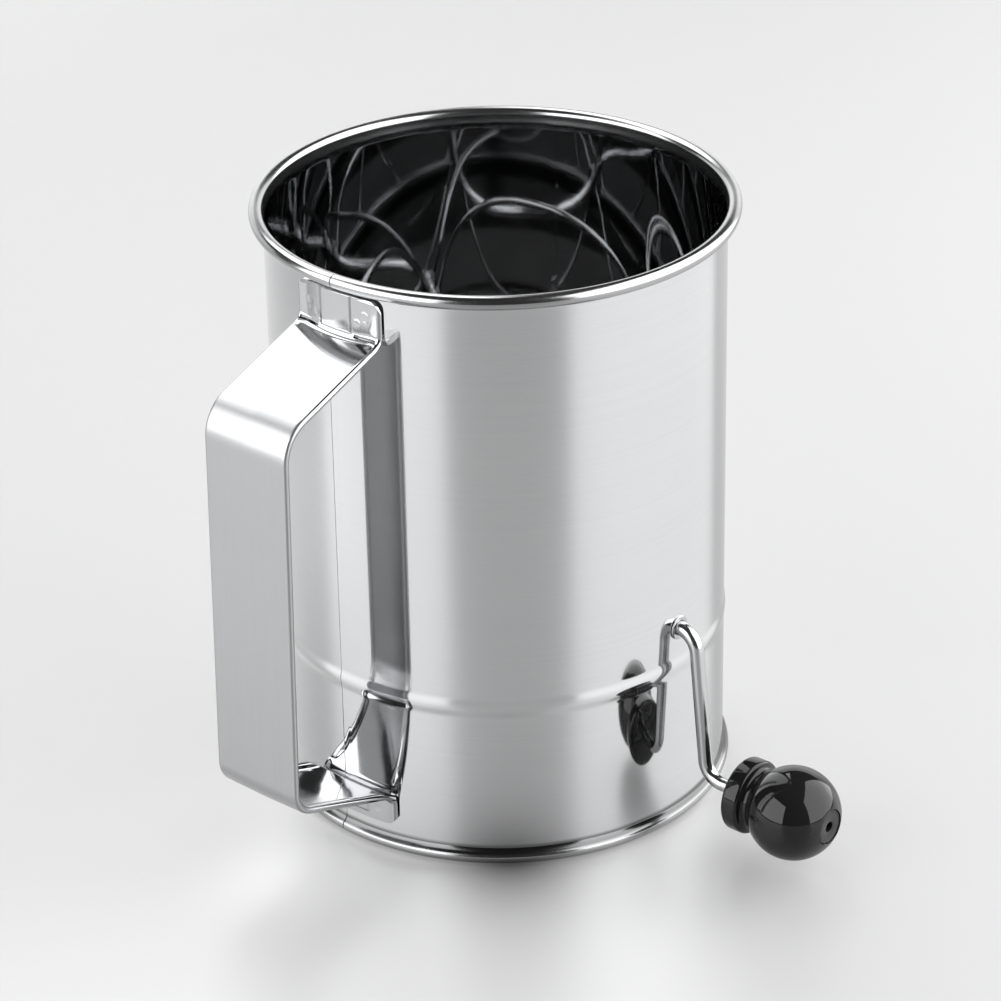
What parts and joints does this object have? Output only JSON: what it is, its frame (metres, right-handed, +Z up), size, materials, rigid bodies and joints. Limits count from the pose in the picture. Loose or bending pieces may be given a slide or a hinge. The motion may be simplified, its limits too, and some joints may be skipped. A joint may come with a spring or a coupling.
{
  "type": "crank flour sifter",
  "caption": "Polished steel flour sifter: open cylinder with rolled rim, strap handle, and a bent-wire crank with a black ball knob that turns wire bows over a domed screen.",
  "frame": {"origin": "on the body axis, in the plane the base ring rests on", "axes": "+Z up along the body axis; -Y toward the crank side, along the agitator shaft; -X toward the handle, within 1.4 degrees"},
  "size_m": [0.164, 0.1794, 0.168],
  "materials": {
    "polished_steel": "polished stainless steel with faint drawing lines",
    "steel_wire": "bright drawn stainless wire",
    "screen_wire": "fine woven stainless wire",
    "black_plastic": "high gloss moulded plastic"
  },
  "bodies": {
    "sifter_body": {"body_shell": "polished_steel", "rim_wire": "steel_wire", "base_wire": "steel_wire", "screen_mesh": "screen_wire", "screen_hoop_outer": "polished_steel", "screen_hoop_inner": "polished_steel", "screen_snap_ring": "steel_wire", "handle_strap": "polished_steel", "bearing_eyelet_front": "polished_steel", "bearing_eyelet_rear": "polished_steel"},
    "crank_and_agitator": {"crank_rod": "steel_wire", "agitator_hub_front": "steel_wire", "agitator_hub_rear": "steel_wire", "agitator_bow_1": "steel_wire", "agitator_bow_2": "steel_wire", "agitator_bow_3": "steel_wire", "agitator_bow_4": "steel_wire", "thrust_washer_front": "steel_wire", "thrust_washer_rear": "steel_wire", "shaft_end_cap": "polished_steel", "knob_push_nut": "steel_wire"},
    "crank_knob": {"knob_ball": "black_plastic", "knob_end_plug": "black_plastic"}
  },
  "joints": [
    {"name": "crank_spin", "type": "hinge", "parent": "sifter_body", "child": "crank_and_agitator", "pos_m": [0, 0, 0.0591], "axis": [0, -1, 0], "continuous": true},
    {"name": "knob_spin", "type": "hinge", "parent": "crank_and_agitator", "child": "crank_knob", "pos_m": [0, -0.097, 0.0158], "axis": [0, -1, 0], "continuous": true}
  ]
}
